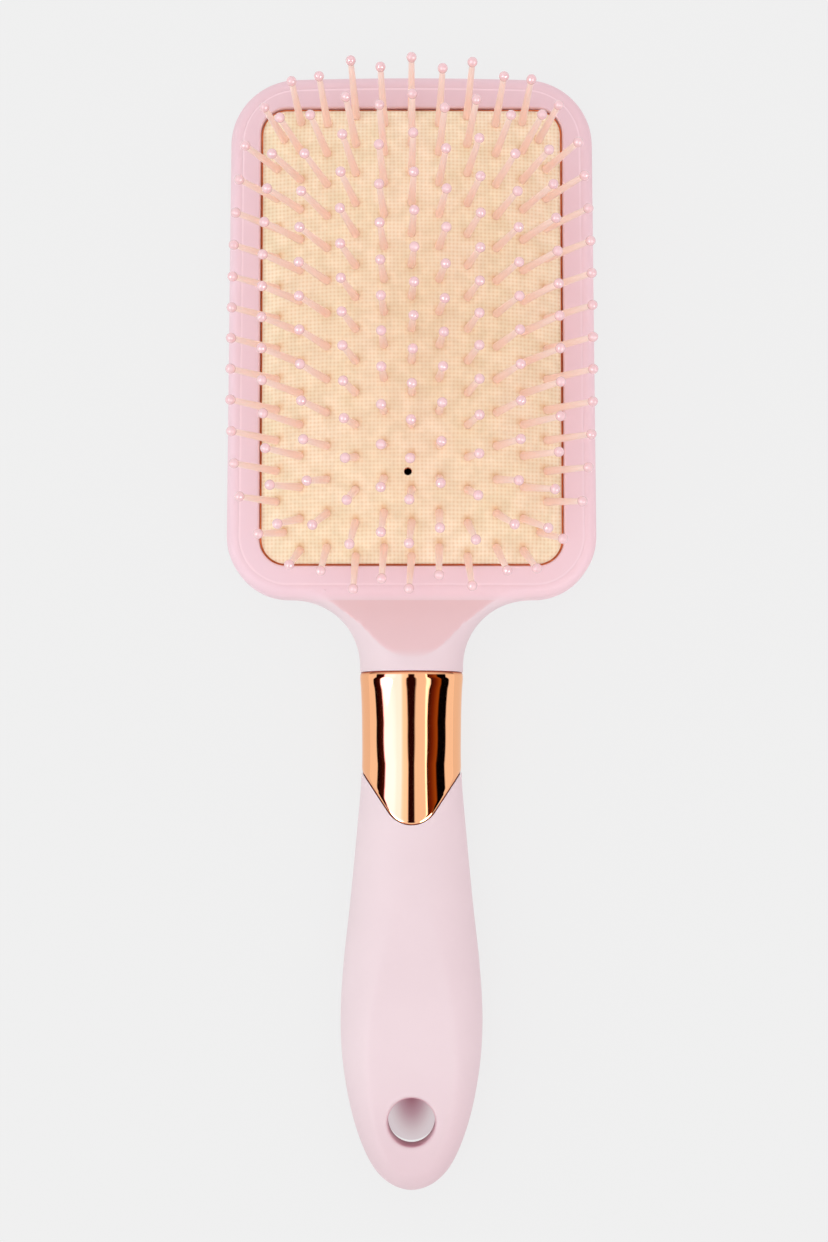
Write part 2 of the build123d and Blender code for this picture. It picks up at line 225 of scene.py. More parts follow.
def distance(points, path):
    """Distance from each point to an open path."""
    out = np.empty(len(points))
    a, d = path[:-1], np.diff(path, axis=0)
    length2 = (d * d).sum(1)
    for i in range(0, len(points), 2000):
        rel = points[i : i + 2000, None, :] - a
        t = np.clip((rel * d).sum(2) / length2, 0, 1)
        out[i : i + 2000] = np.linalg.norm(rel - t[..., None] * d, axis=2).min(1)
    return out


def rings(loop, path, insets):
    """Rows of points inside a loop, each row parallel to path, which is the loop or a part of it."""
    found = []
    normals = inward(loop)
    on_path = distance(loop, path) < 1e-6
    for inset in insets:
        row = (loop + normals * inset)[on_path]
        row = row[inside(row, loop)]
        found.append(row[distance(row, path) > inset * 0.97])
    return np.concatenate(found)


def grid(low, high, step):
    """A staggered grid of points over a box."""
    rows = []
    for k, y in enumerate(np.arange(low[1], high[1], step * 0.87)):
        x = np.arange(low[0] + (step / 2 if k % 2 else 0), high[0], step)
        rows.append(np.stack([x, np.full(len(x), y)], 1))
    return np.concatenate(rows)


def triangulate(loops, loose):
    """Triangles over the first loop less the others. Returns points, triangles and each loop's indices."""
    points = np.concatenate([*loops, loose])
    edges, where, start = [], [], 0
    for loop in loops:
        ids = list(range(start, start + len(loop)))
        edges += list(zip(ids, ids[1:] + ids[:1]))
        where.append(ids)
        start += len(loop)
    out, _, faces, origins, _, _ = delaunay_2d_cdt([Vector(p) for p in points], edges, [], 0, 1e-7)
    out = np.array([tuple(p) for p in out])
    new_id = {}
    for k, old in enumerate(origins):
        for o in old:
            new_id[o] = k
    faces = np.array([f for f in faces])
    middle = out[faces].mean(1)
    keep = inside(middle, loops[0])
    for loop in loops[1:]:
        keep &= ~inside(middle, loop)
    return out, faces[keep], [[new_id[i] for i in ids] for ids in where]


# ------------------------------------------------------------ mesh helpers
class Mesh:
    """Collects vertices and faces of one piece."""

    def __init__(self):
        self.points, self.shades, self.faces, self.count = [], [], [], 0

    def add(self, points, shade=0.0):
        """Adds vertices and returns their indices. Their material may read shade, 0..1 each."""
        points = np.asarray(points, float)
        ids = np.arange(self.count, self.count + len(points))
        self.points.append(points)
        self.shades.append(np.broadcast_to(shade, len(points)))
        self.count += len(points)
        return ids

    def face(self, ids):
        self.faces.append([int(i) for i in ids])

    def sheet(self, ids, triangles):
        self.faces += [[int(ids[a]), int(ids[b]), int(ids[c])] for a, b, c in triangles]

    def band(self, a, b):
        """Quads between two closed rows of the same length."""
        n = len(a)
        for k in range(n):
            m = (k + 1) % n
            self.face((a[k], a[m], b[m], b[k]))

    def bands(self, rows, joined=False):
        """Quads between neighbouring rows; joined also ties the last row to the first."""
        for a, b in zip(rows, rows[1:] + rows[:1] if joined else rows[1:]):
            self.band(a, b)

    def make(self, name, material, body, slot, sharp_deg=38):
        """The piece as a Blender object that rides on a body."""
        data = bpy.data.meshes.new(name)
        data.from_pydata((np.concatenate(self.points) * MM).tolist(), [], self.faces)
        work = bmesh.new()
        work.from_mesh(data)
        shade = work.verts.layers.float.new("shade")
        for vertex, value in zip(work.verts, np.concatenate(self.shades)):
            vertex[shade] = value
        bmesh.ops.remove_doubles(work, verts=work.verts, dist=1e-7)
        loose = [v for v in work.verts if not v.link_faces]
        bmesh.ops.delete(work, geom=loose, context="VERTS")
        bmesh.ops.recalc_face_normals(work, faces=work.faces)
        work.to_mesh(data)
        work.free()
        data.shade_smooth()
        data.set_sharp_from_angle(angle=math.radians(sharp_deg))
        data.materials.append(material)
        piece = bpy.data.objects.new(name, data)
        bpy.context.scene.collection.objects.link(piece)
        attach(piece, body)
        return piece


def with_z(points, z):
    """2-D points with a height or heights."""
    return np.column_stack([points, np.broadcast_to(z, len(points))])


# ---------------------------------------------------------------- materials
def srgb(r, g, b):
    """A display colour, 0..255, as linear values."""
    values = []
    for c in (r, g, b):
        c /= 255
        values.append(c / 12.92 if c <= 0.04045 else ((c + 0.055) / 1.055) ** 2.4)
    return (*values, 1.0)


class Nodes:
    """Short ways to add nodes to the tree of a material or of the world."""

    def __init__(self, tree):
        self.tree = tree

    def node(self, kind, **settings):
        made = self.tree.nodes.new(kind)
        for key, value in settings.items():
            setattr(made, key, value)
        return made

    def link(self, output, socket):
        self.tree.links.new(output, socket)

    def feed(self, value, socket):
        """Links an output to an input, or sets the input to a plain value."""
        if hasattr(value, "links"):
            self.link(value, socket)
        else:
            socket.default_value = value

    def math(self, operation, *values, clamp=False):
        made = self.node("ShaderNodeMath", operation=operation, use_clamp=clamp)
        for socket, value in zip(made.inputs, values):
            self.feed(value, socket)
        return made.outputs[0]

    def mix(self, factor, a, b, blend="MIX"):
        made = self.node("ShaderNodeMix", data_type="RGBA", blend_type=blend)
        self.feed(factor, made.inputs["Factor"])
        colours = [socket for socket in made.inputs if socket.type == "RGBA"]
        self.feed(a, colours[0])
        self.feed(b, colours[1])
        return [socket for socket in made.outputs if socket.type == "RGBA"][0]

    def ramp(self, factor, stops):
        """A colour ramp; stops are (position, linear colour)."""
        made = self.node("ShaderNodeValToRGB")
        elements = made.color_ramp.elements
        while len(elements) < len(stops):
            elements.new(0.5)
        for element, (position, colour) in zip(elements, stops):
            element.position = position
            element.color = (*colour[:3], 1)
        self.link(factor, made.inputs["Fac"])
        return made.outputs["Color"]


class Material(Nodes):
    """A Principled material."""

    def __init__(self, name, **values):
        self.material = bpy.data.materials.new(name)
        self.material.use_nodes = True
        super().__init__(self.material.node_tree)
        self.shader = self.tree.nodes["Principled BSDF"]
        for socket, value in values.items():
            self.shader.inputs[socket.replace("_", " ")].default_value = value
        self.place = self.node("ShaderNodeTexCoord").outputs["Object"]

    def noise(self, scale, detail=3.0, roughness=0.5):
        made = self.node("ShaderNodeTexNoise")
        made.inputs["Scale"].default_value = scale
        made.inputs["Detail"].default_value = detail
        made.inputs["Roughness"].default_value = roughness
        self.link(self.place, made.inputs["Vector"])
        return made.outputs["Fac"]

    def shade(self):
        """The mesh's own 0..1 value."""
        return self.node("ShaderNodeAttribute", attribute_name="shade").outputs["Fac"]

    def span(self, value, low_mm, high_mm):
        """0 at low_mm, 1 at high_mm and a smooth step between them."""
        made = self.node("ShaderNodeMapRange", interpolation_type="SMOOTHSTEP")
        made.inputs["From Min"].default_value = low_mm * MM
        made.inputs["From Max"].default_value = high_mm * MM
        self.link(value, made.inputs["Value"])
        return made.outputs["Result"]

    def constant(self, colour):
        made = self.node("ShaderNodeRGB")
        made.outputs[0].default_value = colour
        return made.outputs[0]

    def bump(self, height, strength, distance_mm):
        made = self.node("ShaderNodeBump")
        made.inputs["Strength"].default_value = strength
        made.inputs["Distance"].default_value = distance_mm * MM
        self.link(height, made.inputs["Height"])
        self.link(made.outputs["Normal"], self.shader.inputs["Normal"])

    def colour(self, socket):
        self.link(socket, self.shader.inputs["Base Color"])

    def rough(self, factor, low, high):
        """Roughness from low to high as factor goes from 0 to 1."""
        made = self.node("ShaderNodeMapRange")
        made.inputs["To Min"].default_value = low
        made.inputs["To Max"].default_value = high
        self.link(factor, made.inputs["Value"])
        self.link(made.outputs["Result"], self.shader.inputs["Roughness"])


def pad_pink(m):
    """The paddle's pink: a faint mottle, a painted side-to-side shade, and deeper towards the head as painted
    shade. Returns the X, Y, Z node and the colour.
    """
    split = m.node("ShaderNodeSeparateXYZ")
    m.link(m.place, split.inputs[0])
    # painted side-to-side shade: paler towards +X
    across = m.math("MULTIPLY_ADD", split.outputs["X"], 6.0, 0.5)
    factor = m.math("MULTIPLY_ADD", m.noise(45, 2.0), 0.3, m.math("MULTIPLY", across, 0.7))
    pink = m.ramp(factor, [(0.2, srgb(231, 199, 209)), (0.8, srgb(237, 203, 210))])
    # the deeper pink towards the head is painted shade
    return split, m.mix(m.span(split.outputs["Y"], 10.0, 58.0), pink, m.constant(srgb(227, 193, 201)))


def soft_touch():
    """Matt rubbery coating with a very fine grain; painted shade as deeper pink on the paddle and on the
    neck's ramp, darker pink towards the tail and in the hang hole's bore.
    """
    m = Material("soft_touch_pink", Specular_IOR_Level=0.3, Sheen_Weight=0.04, Sheen_Roughness=0.45)
    grip = m.ramp(m.noise(60, 2.0), [(0.3, srgb(223, 202, 207)), (0.7, srgb(226, 205, 210))])
    split, pad = pad_pink(m)
    y, z = split.outputs["Y"], split.outputs["Z"]
    # the paddle's deeper pink is painted shade
    on_pad = m.span(y, -61.5, -58.5)
    # the ramp, the tail and the bore are told apart by place, and get deeper pinks of their own as painted
    # shade
    ramp_z = m.math("MULTIPLY_ADD", y, -ramp_slope, (front_z + ramp_foot_y * ramp_slope) * MM)
    off_ramp = m.math("ABSOLUTE", m.math("SUBTRACT", z, ramp_z))
    ramp_shade = m.math("SUBTRACT", 1.0, m.span(off_ramp, 0.03, 0.3))
    ramp_shade = m.math("MULTIPLY", ramp_shade, m.math("SUBTRACT", 1.0, m.span(y, -60.35, -60.15)))
    # painted shade: darker pink towards the tail's end
    grip = m.mix(m.span(y, -157.0, -192.0), grip, m.constant(srgb(217, 191, 197)))
    pink = m.mix(on_pad, grip, pad)
    ramp_shade = m.math("MULTIPLY", ramp_shade, m.span(y, -74.0, -71.0))
    pink = m.mix(ramp_shade, pink, m.constant(srgb(226, 192, 196)))
    # painted shade in the hang hole's bore: darkest in its middle and towards the floor
    from_hole = m.math("POWER", m.math("ADD", y, -hole_y * MM), 2.0)
    from_hole = m.math("ADD", from_hole, m.math("POWER", split.outputs["X"], 2.0))
    in_bore = m.math("SUBTRACT", 1.0, m.span(m.math("SQRT", from_hole), hole_r + 0.02, hole_r + 0.5))
    aside = m.span(m.math("ABSOLUTE", split.outputs["X"]), 1.5, 4.6)
    wall = m.mix(aside, m.constant(srgb(192, 136, 150)), m.constant(srgb(222, 184, 193)))
    wall = m.mix(m.span(z, 13.0, 4.5), wall, m.constant(srgb(158, 102, 117)))
    m.colour(m.mix(in_bore, pink, wall))
    m.rough(m.noise(900, 2.0), 0.52, 0.64)
    m.bump(m.noise(5200, 2.0), 0.2, 0.02)
    return m.material


def bezel_pink():
    """Smooth moulded plastic with a faint satin, and a pale painted highlight along its parting line."""
    m = Material("bezel_pink", Specular_IOR_Level=0.4, Coat_Weight=0.08, Coat_Roughness=0.3)
    # shade marks the parting line's edge, painted paler as a highlight
    m.colour(m.mix(m.shade(), pad_pink(m)[1], m.constant(srgb(240, 209, 217))))
    m.rough(m.noise(700, 2.0), 0.36, 0.46)
    m.bump(m.noise(2600, 2.0), 0.1, 0.02)
    return m.material


def rose_gold():
    """Mirror plating, with a faint unevenness in its polish, and a painted dark copper reflection along its
    rolled edges.
    """
    m = Material("rose_gold", Metallic=1.0)
    gold = m.ramp(m.noise(35, 2.0), [(0.35, srgb(252, 183, 136)), (0.65, srgb(253, 188, 142))])
    # shade paints the dark copper reflection on the rolled lip and the V edge
    m.colour(m.mix(m.shade(), gold, m.constant(srgb(168, 66, 50))))
    m.rough(m.noise(500, 2.0), 0.03, 0.055)
    m.bump(m.noise(210, 1.0), 0.06, 0.02)
    return m.material


def woven_cream():
    """Plain weave about 0.9 mm from thread to thread, as colour and as relief."""
    m = Material("woven_cream", Specular_IOR_Level=0.2, Sheen_Weight=0.06, Sheen_Roughness=0.5)
    pitch = 0.89 * MM
    split = m.node("ShaderNodeSeparateXYZ")
    m.link(m.place, split.inputs[0])
    wobble = m.math("MULTIPLY", m.noise(260, 2.0), 2.2)
    across = m.math("MULTIPLY_ADD", split.outputs["X"], 2 * math.pi / pitch, wobble)
    along = m.math("MULTIPLY_ADD", split.outputs["Y"], 2 * math.pi / pitch, wobble)
    weave = m.math("ADD", m.math("SINE", across), m.math("SINE", along))
    weave = m.math("MULTIPLY_ADD", weave, 0.25, 0.5)
    tones = [(0.0, srgb(242, 214, 176)), (0.4, srgb(250, 230, 202)), (1.0, srgb(254, 239, 215))]
    threads = m.ramp(weave, tones)
    blotch = m.ramp(m.noise(330, 3.0, 0.6), [(0.35, (0.9, 0.88, 0.84, 1)), (0.65, (1.0, 1.0, 1.0, 1))])
    tint = m.ramp(m.noise(75, 2.0), [(0.35, (0.97, 0.97, 0.93, 1)), (0.65, (1.0, 0.99, 1.0, 1))])
    cream = m.mix(1.0, m.mix(1.0, threads, blotch, "MULTIPLY"), tint, "MULTIPLY")
    # painted shade beside the pins, where the cloth is drawn in, and a paler ring round the vent
    cream = m.mix(m.math("MULTIPLY", m.shade(), 0.55), cream, m.constant(srgb(224, 170, 112)))
    from_vent = m.node("ShaderNodeVectorMath", operation="DISTANCE")
    from_vent.inputs[1].default_value = (vent_xy[0] * MM, vent_xy[1] * MM, (edge_z + rise) * MM)
    m.link(m.place, from_vent.inputs[0])
    vent_ring = m.math("SUBTRACT", 1.0, m.span(from_vent.outputs["Value"], vent_r + 0.3, vent_r + 0.55))
    m.colour(m.mix(vent_ring, cream, m.constant(srgb(254, 244, 214))))
    m.rough(weave, 0.92, 0.74)
    m.bump(weave, 0.4, 0.1)
    return m.material


def rubber():
    """Orange-brown cushion rubber."""
    m = Material("cushion_rubber", Specular_IOR_Level=0.35)
    m.colour(m.ramp(m.noise(400, 3.0), [(0.3, srgb(222, 112, 66)), (0.7, srgb(243, 140, 88))]))
    m.rough(m.noise(900, 2.0), 0.5, 0.7)
    m.bump(m.noise(1800, 2.0), 0.2, 0.03)
    return m.material


def nylon():
    """Peach nylon, a little translucent."""
    m = Material(
        "pin_nylon",
        Specular_IOR_Level=0.4,
        Subsurface_Weight=0.3,
        Subsurface_Scale=0.0012,
        Subsurface_Radius=(1.0, 0.75, 0.65),
    )
    foot = m.ramp(m.noise(120, 2.0), [(0.3, srgb(248, 214, 201)), (0.7, srgb(250, 219, 207))])
    m.colour(m.mix(m.shade(), foot, m.constant(srgb(244, 223, 217))))
    m.rough(m.noise(700, 2.0), 0.34, 0.46)
    m.bump(m.noise(1500, 2.0), 0.1, 0.02)
    return m.material


def drop_pink():
    """Glossy pink drops."""
    m = Material(
        "tip_pink",
        Specular_IOR_Level=0.5,
        Coat_Weight=0.5,
        Coat_Roughness=0.08,
        Subsurface_Weight=0.3,
        Subsurface_Scale=0.001,
        Subsurface_Radius=(1.0, 0.7, 0.8),
    )
    m.colour(m.ramp(m.noise(220, 2.0), [(0.3, srgb(231, 193, 197)), (0.7, srgb(234, 198, 202))]))
    m.rough(m.noise(900, 2.0), 0.16, 0.24)
    m.bump(m.noise(1200, 1.0), 0.05, 0.02)
    return m.material


soft_pink_material = soft_touch()
bezel_material = bezel_pink()
rose_gold_material = rose_gold()
cloth_material = woven_cream()
rubber_material = rubber()
nylon_material = nylon()
tip_material = drop_pink()


# ------------------------------------------------------------- the cushion
def crown(x, y):
    """Height of the cloth's outer face."""
    across = 1 - (np.abs(x) / crown_half[0]) ** crown_power[0]
    along = 1 - (np.abs(y) / crown_half[1]) ** crown_power[1]
    return edge_z + rise * across * along


def pin_layout():
    """Every pin's group, foot and direction, as the CAD model places them."""
    found = []
    last = max(columns)
    for column in range(-last, last + 1):
        x, count, span = columns[abs(column)]
        for row in range(count):
            y = span * (1 - 2 * row / (count - 1))
            px = x - corner_pin_inset if abs(column) == last and row in (0, count - 1) else x
            px = -px if column < 0 else px
            step = 0.01
            slope_x = (crown(px + step, y) - crown(px - step, y)) / (2 * step)
            slope_y = (crown(px, y + step) - crown(px, y - step)) / (2 * step)
            lean = math.radians(scatter_deg)
            way = Vector((
                -slope_x + lean * math.sin(7.3 * column + 12.9 * row),
                -slope_y + lean * math.sin(7.3 * column + 12.9 * row + 2.1),
                1.0,
            )).normalized()
            ring = 1 + min(last - abs(column), row, count - 1 - row)
            if ring == last + 1:
                side = "centre"
            elif row == ring - 1:
                side = "head_end"
            elif count - row == ring:
                side = "handle_end"
            else:
                side = "left" if column < 0 else "right"
            found.append(((ring, side), Vector((px, y, crown(px, y))), way))
    return found


pins = pin_layout()
feet = np.array([tuple(foot)[:2] for _, foot, _ in pins])
leans = np.array([tuple(way)[:2] for _, _, way in pins])


def dimple(points):
    """How far the cloth is drawn in round the pins."""
    drop = np.zeros(len(points))
    for foot in feet:
        away = from_point(points, foot)
        near = away < 5
        drop[near] += dimple_depth * np.exp(-((away[near] / dimple_r) ** 2))
    return drop


def pit_shade(points):
    """0..1 of painted shade where the cloth is stretched open behind each leaning pin."""
    value = np.zeros(len(points))
    behind = feet - leans * pit_shade_back + np.array((0, 0.55))
    for place in behind:
        away = from_point(points, place)
        near = away < 3
        value[near] += np.exp(-((away[near] / pit_shade_r) ** 2))
    return np.minimum(value, 1.0)


def cloth_height(points):
    """The cloth's outer face, rolled down at its trimmed edge."""
    to_side = opening_half[0] - cloth_inset - np.abs(points[:, 0])
    to_end = opening_half[1] - cloth_inset - np.abs(points[:, 1])
    to_edge = np.minimum(to_side, to_end)
    roll = 0.22 * np.exp(-np.maximum(to_edge, 0) / 0.35)
    return crown(points[:, 0], points[:, 1]) - dimple(points) - roll


def circles(centre, radii, count):
    """Rings of points round a centre."""
    return np.concatenate([arc(centre[0], centre[1], r, 0, 360, count) for r in radii])


def build_cloth():
    """The woven cover: outer face, trimmed edge, underside and the vent through it."""
    half = [h - cloth_inset for h in opening_half]
    outline = resample(pad_loop(half=half, r=opening_r - cloth_inset), 0.8)
    sides = closed_path(outline)
    vent = circles(vent_xy, (vent_r,), vent_points)
    loose = rings(outline, sides, (0.2, 0.5, 1.0))
    mesh_points = grid((-34, -52.5), (34, 52.5), 0.8)
    mesh_points = mesh_points[inside(mesh_points, outline)]
    mesh_points = mesh_points[distance(mesh_points, sides) > 1.5]
    around = []
    for foot in feet:
        mesh_points = mesh_points[from_point(mesh_points, foot) > 1.75]
        around.append(circles(foot, (0.6, 1.0, 1.4), 14))
    around.append(circles(vent_xy, (vent_r + 0.12, vent_r + 0.35), vent_points))
    mesh_points = mesh_points[from_point(mesh_points, vent_xy) > vent_r + 0.8]
    loose = np.concatenate([loose, mesh_points, *around])
    points, triangles, (edge, hole) = triangulate([outline, vent], loose)
    lip = 0.12 * np.exp(-(((from_point(points, vent_xy) - vent_r - 0.12) / 0.2) ** 2))
    height = cloth_height(points) + lip
    mesh = Mesh()
    top = mesh.add(with_z(points, height), pit_shade(points))
    low = mesh.add(with_z(points, cloth_height(points) - cloth_thick))
    mesh.sheet(top, triangles)
    mesh.sheet(low, triangles[:, ::-1])
    mesh.band(top[edge], low[edge])
    mesh.band(low[hole], top[hole])
    piece = mesh.make("cushion_cloth_woven", cloth_material, "paddle", "cushion_cloth")
    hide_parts("cushion_cloth")
    return piece


def build_membrane():
    """The rubber under the cloth. Its outer edge shows as a thin line round the cushion."""
    outline = pad_loop(half=[h - 0.05 for h in opening_half], r=opening_r)
    sides = closed_path(outline)
    vent = circles(vent_xy, (vent_r - 0.05,), vent_points)
    loose = rings(outline, sides, (0.15, 0.4, 1.0, 2.0))
    mesh_points = grid((-32, -50), (32, 50), 2.4)
    mesh_points = mesh_points[from_point(mesh_points, vent_xy) > 1.8]
    loose = np.concatenate([loose, mesh_points])
    points, triangles, (edge, hole) = triangulate([outline, vent], loose)
    under = cloth_thick + 0.32
    near_edge = distance(points, sides)
    height = crown(points[:, 0], points[:, 1]) - under - 0.25 * np.exp(-near_edge / 0.2)
    mesh = Mesh()
    top = mesh.add(with_z(points, height))
    low = mesh.add(with_z(points, np.maximum(height - rubber_thick + 0.35, edge_z - 0.3)))
    mesh.sheet(top, triangles)
    mesh.sheet(low, triangles[:, ::-1])
    mesh.band(top[edge], low[edge])
    mesh.band(low[hole], top[hole])
    piece = mesh.make("cushion_rubber_crown", rubber_material, "paddle", "cushion_rubber")
    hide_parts("cushion_membrane")

    flange = Mesh()
    rows = []
    wall, inner, spread = 0.05, 1.0, -2.0  # insets from the opening
    wall_top_z, foot_top_z = edge_z - 0.35, 10.0
    section = [(wall, wall_top_z), (wall, foot_top_z), (spread, foot_top_z), (spread, ledge_z)]
    section += [(inner, ledge_z), (inner, wall_top_z)]
    for inset, z in section:
        half = [h - inset for h in opening_half]
        rows.append(flange.add(with_z(pad_loop(half=half, r=opening_r - inset), z)))
    flange.bands(rows, joined=True)
    clamp = flange.make("cushion_rubber_flange", rubber_material, "paddle", "cushion_rubber")
    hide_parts("cushion_membrane")
    return piece


cloth = build_cloth()
membrane = build_membrane()
for soft in (cloth, membrane):
    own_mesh(soft)


# ----------------------------------------------------------------- the pins
def turned(mesh, foot, way, profile, segments):
    """Adds a profile of (radius, height) turned round a pin's axis to a mesh."""
    side = way.orthogonal().normalized()
    other = way.cross(side)
    foot, way, side, other = (np.array(v) for v in (foot, way, side, other))
    angles = np.linspace(0, 2 * math.pi, segments, endpoint=False)
    spokes = np.outer(np.cos(angles), side) + np.outer(np.sin(angles), other)
    rows = []
    for radius, height in profile:
        share = np.clip(height / pin_length, 0, 1)
        rows.append(mesh.add(foot + way * height + spokes * radius, share))
    mesh.bands(rows)
    mesh.face(rows[0])
    mesh.face(rows[-1])


def shaft_profile():
    """Head, waist through the cushion, and the tapering shaft with a slight swell at its foot."""
    head_top = -(cloth_thick + rubber_thick + 0.1)
    end = pin_length - tip_length + tip_seat
    taper_z = 0.3
    head = ((0.1, 0.7), (0, 0.6), (0, 0.1), (0.1, 0))
    rows = [(pin_head_r - edge, head_top - down) for edge, down in head]
    rows += [(pin_base_r, head_top), (pin_base_r, -0.2), (pin_base_r, taper_z)]
    for t in (0.04, 0.12, 0.3, 0.55, 0.8, 1.0):
        rows.append((pin_base_r + (pin_top_r - pin_base_r) * t**0.85, taper_z + (end - taper_z) * t))
    return rows


def tip_profile():
    """A drop: flat seat on the shaft, swelling to a ball."""
    seat_z = pin_length - tip_length + tip_seat
    ball_z = pin_length - tip_r
    rows = []
    for t in np.linspace(0, 1, 7)[:-1]:
        swell = math.sin(t * math.pi / 2)
        rows.append((tip_seat_r + (tip_r - tip_seat_r) * swell, seat_z + (ball_z - seat_z) * t))
    for angle in np.radians(np.linspace(0, 84, 9)):
        rows.append((tip_r * math.cos(angle), ball_z + tip_r * math.sin(angle)))
    return rows


def build_pins():
    """One mesh of shafts and one of tips for each side of each ring."""
    groups = {}
    for group, foot, way in pins:
        groups.setdefault(group, []).append((foot, way))
    for (ring, side), members in groups.items():
        body = f"pin_ring_{ring}"
        shafts, tips = Mesh(), Mesh()
        for foot, way in members:
            turned(shafts, foot, way, shaft_profile(), 18)
            turned(tips, foot, way, tip_profile(), 24)
        name = f"ring_{ring}_{side}"
        shaft = shafts.make(f"pin_shafts_{name}", nylon_material, body, "pin_nylon", 50)
        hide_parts(f"pins_{name}")
        tip = tips.make(f"pin_drops_{name}", tip_material, body, "tip_pink", 50)
        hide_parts(f"tips_{name}")


build_pins()


# ---------------------------------------------------------------- the paddle
def paddle_silhouette():
    """The paddle with its neck, anticlockwise from the neck's right corner at the ferrule."""
    pad = pad_loop()
    pad = pad[~((np.abs(pad[:, 0]) < heel_half - heel_r) & (pad[:, 1] < heel_y + 1))]
    first = int(np.argmin(np.where(pad[:, 0] > 0, pad[:, 1], 999) + 0.001 * np.abs(pad[:, 0])))
    pad = np.roll(pad, -first, 0)
    centre = (neck_half + neck_arc_r, heel_y - neck_arc_r)
    right = arc(centre[0], centre[1], neck_arc_r, 180, 90, 30)
    right = np.concatenate([line((neck_half, neck_end_y), (neck_half, centre[1]), 3), right])
    left = right[::-1] * (-1, 1)
    return np.concatenate([right, pad, left])


def shell_heights(points, path):
    """Front and back heights of the paddle and neck at each point."""
    y = points[:, 1]
    edge = distance(points, path)
    into_neck = smooth((-57.0 - y) / 7.0)
    full = smooth((-69.0 - y) / 6.5)
    side_high = side_high_z + (grip_z - side_high_z) * smooth((-57.0 - y) / 11.0)
    side_low = side_low_z + (grip_z - side_low_z) * smooth((-56.0 - y) / 14.0)
    front_top = front_z + (neck_top_z - front_z) * into_neck
    front_r = front_edge_r + 7.6 * smooth((-57.3 - y) / 3.6) + 1.8 * full
    back_low = (grip_z - neck_half * flatness) * smooth((-58.0 - y) / 17.0)
    back_r = back_edge_r + 6.6 * smooth((-56.0 - y) / 16.0)
    lift_front = np.sqrt(1 - (1 - np.minimum(edge / front_r, 1)) ** 2)
    lift_back = np.sqrt(1 - (1 - np.minimum(edge / back_r, 1)) ** 2)
    front = side_high + (front_top - side_high) * lift_front
    ramp = front_z + np.maximum(0, ramp_foot_y - y) * ramp_slope
    cut = np.minimum(front, soft_min(front, ramp, 0.12))
    front = np.where(y < ramp_foot_y + 2.0, cut, front)
    back = side_low - (side_low - back_low) * lift_back
    return front, back


def build_shell():
    """Outer skin of the paddle and neck, the bezel's seat, the ledge and the air chamber."""
    outline = resample(paddle_silhouette(), 0.9)
    low = int(np.argmin(from_point(outline, (neck_half, neck_end_y))))
    outline = np.roll(outline, -low, 0)
    outline[0] = (neck_half, neck_end_y)
    end = int(np.argmin(from_point(outline, (-neck_half, neck_end_y))))
    outline[end] = (-neck_half, neck_end_y)
    cut = outline[end + 1 :]
    cut[:, 1] = neck_end_y
    path = outline[: end + 1]
    seat = pad_loop(rim_width)
    insets = (0.04, 0.15, 0.35, 0.65, 1.05, 1.5, 1.95, 2.3, 3.2, 4.2, 5.2, 6.2)
    loose = rings(outline, path, insets)
    fine = grid((-30, neck_end_y + 0.4), (30, -55.5), 0.75)
    fine = fine[inside(fine, outline)]
    fine = fine[distance(fine, path) > 2.6]
    wide = grid((-38, -54), (38, 56), 5.0)
    front_loose = np.concatenate([loose, fine])
    closed_seat = closed_path(seat)
    front_loose = front_loose[~inside(front_loose, seat)]
    front_loose = front_loose[distance(front_loose, closed_seat) > 0.25]
    seat_edge = 0.14  # the shell dips a little from here to the seat
    front_loose = np.concatenate([front_loose, pad_loop(rim_width - seat_edge)])
    points, triangles, (edge, hole) = triangulate([outline, seat], front_loose)
    front, _ = shell_heights(points, path)
    to_seat = distance(points, closed_seat)
    front = front - 0.02 * np.clip(1 - to_seat / seat_edge, 0, 1)
    mesh = Mesh()
    top = mesh.add(with_z(points, front))
    mesh.sheet(top, triangles)
    back_loose = np.concatenate([loose, fine, wide[distance(wide, path) > 7.0]])
    back_points, back_triangles, (back_edge,) = triangulate([outline], back_loose)
    _, back = shell_heights(back_points, path)
    under = mesh.add(with_z(back_points, back))
    mesh.sheet(under, back_triangles[:, ::-1])
    mesh.band(top[edge], under[back_edge])
    rows = [top[hole], mesh.add(with_z(seat, ledge_z))]
    chamber = pad_loop(half=chamber_half, r=chamber_r)
    rows += [mesh.add(with_z(chamber, ledge_z)), mesh.add(with_z(chamber, floor_z))]
    mesh.bands(rows)
    mesh.face(rows[-1])
    piece = mesh.make("paddle_shell_skin", soft_pink_material, "paddle", "soft_pink", 32)
    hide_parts("paddle_shell")


